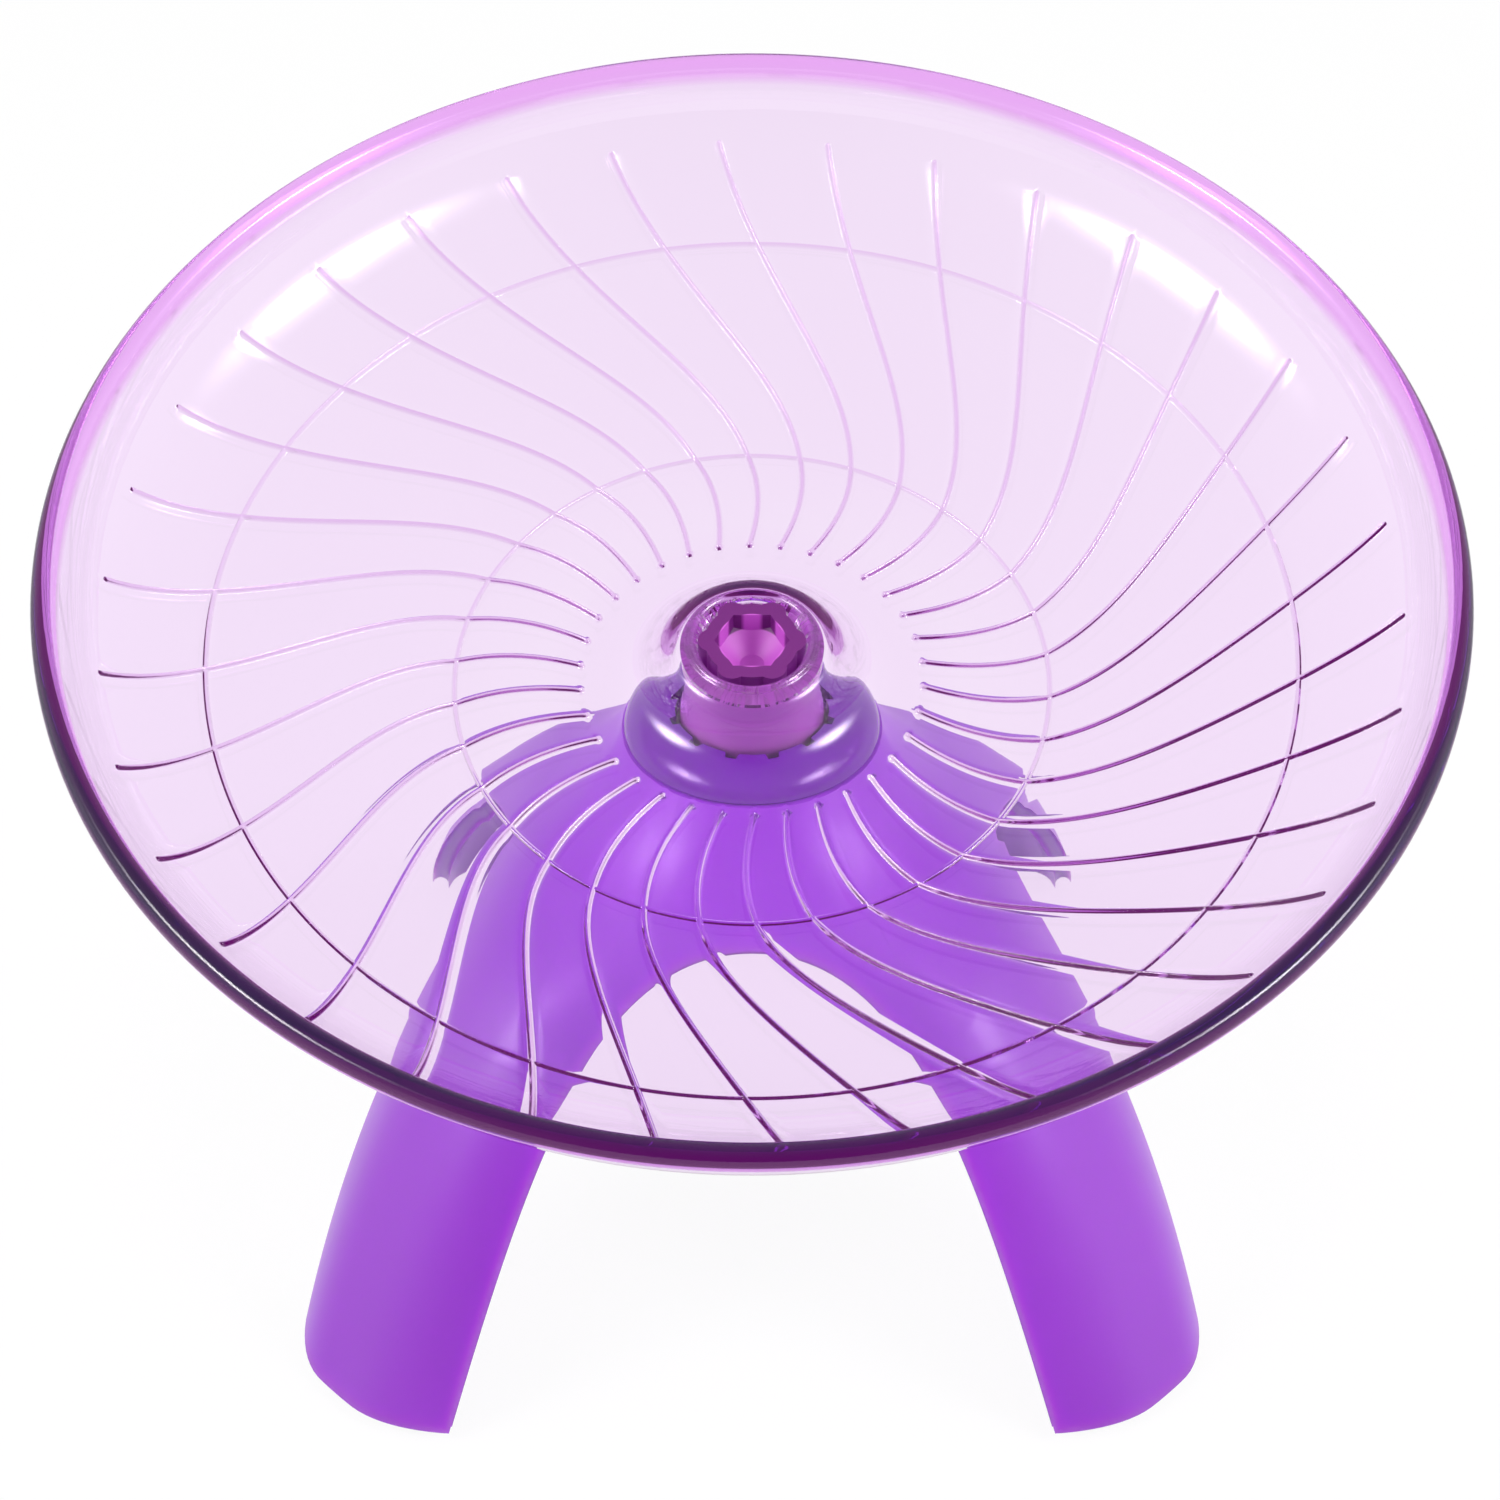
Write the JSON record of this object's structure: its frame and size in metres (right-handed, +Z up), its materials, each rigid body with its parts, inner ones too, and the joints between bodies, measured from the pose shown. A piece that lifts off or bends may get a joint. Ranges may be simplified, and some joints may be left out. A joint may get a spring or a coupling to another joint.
{
  "type": "pet running saucer wheel",
  "caption": "Tilted clear running saucer with curved grip ribs, spinning on a ball-bearing hub over a lilac stand with arched legs.",
  "frame": {"origin": "on the ground, under the middle of the object's outline", "axes": "+Z up; -Y to the front, towards which the saucer leans down; +X to the right seen from the front"},
  "size_m": [0.18, 0.174, 0.1297],
  "materials": {
    "clear_plastic": "clear, tinted pale lilac, polished",
    "spindle_plastic": "moulded, glossy",
    "collar_plastic": "moulded, glossy",
    "stand_plastic": "translucent, moulded, glossy",
    "zinc_steel": "zinc plated",
    "bearing_steel": "ground",
    "ball_steel": "polished",
    "shield_steel": "stamped",
    "cage_plastic": "moulded nylon"
  },
  "bodies": {
    "stand": {"stand": "stand_plastic", "collar": "collar_plastic", "bearing_outer_race": "bearing_steel", "bearing_shield_upper": "shield_steel", "bearing_shield_lower": "shield_steel"},
    "dish": {"dish": "clear_plastic", "spindle": "spindle_plastic", "spindle_screw": "zinc_steel", "spindle_washer": "zinc_steel", "bearing_inner_race": "bearing_steel"},
    "bearing_cage": {"bearing_cage": "cage_plastic", "bearing_balls": "ball_steel"}
  },
  "joints": [
    {"name": "dish_spin", "type": "hinge", "parent": "stand", "child": "dish", "pos_m": [0, 0.00672, 0.08], "axis": [0, -0.2588, 0.9659], "continuous": true},
    {"name": "cage_spin", "type": "hinge", "parent": "stand", "child": "bearing_cage", "pos_m": [0, 0.00672, 0.08], "axis": [0, -0.2588, 0.9659], "continuous": true}
  ],
  "couplings": [
    {"joint": "cage_spin", "follows": "dish_spin", "ratio": 0.3677}
  ]
}
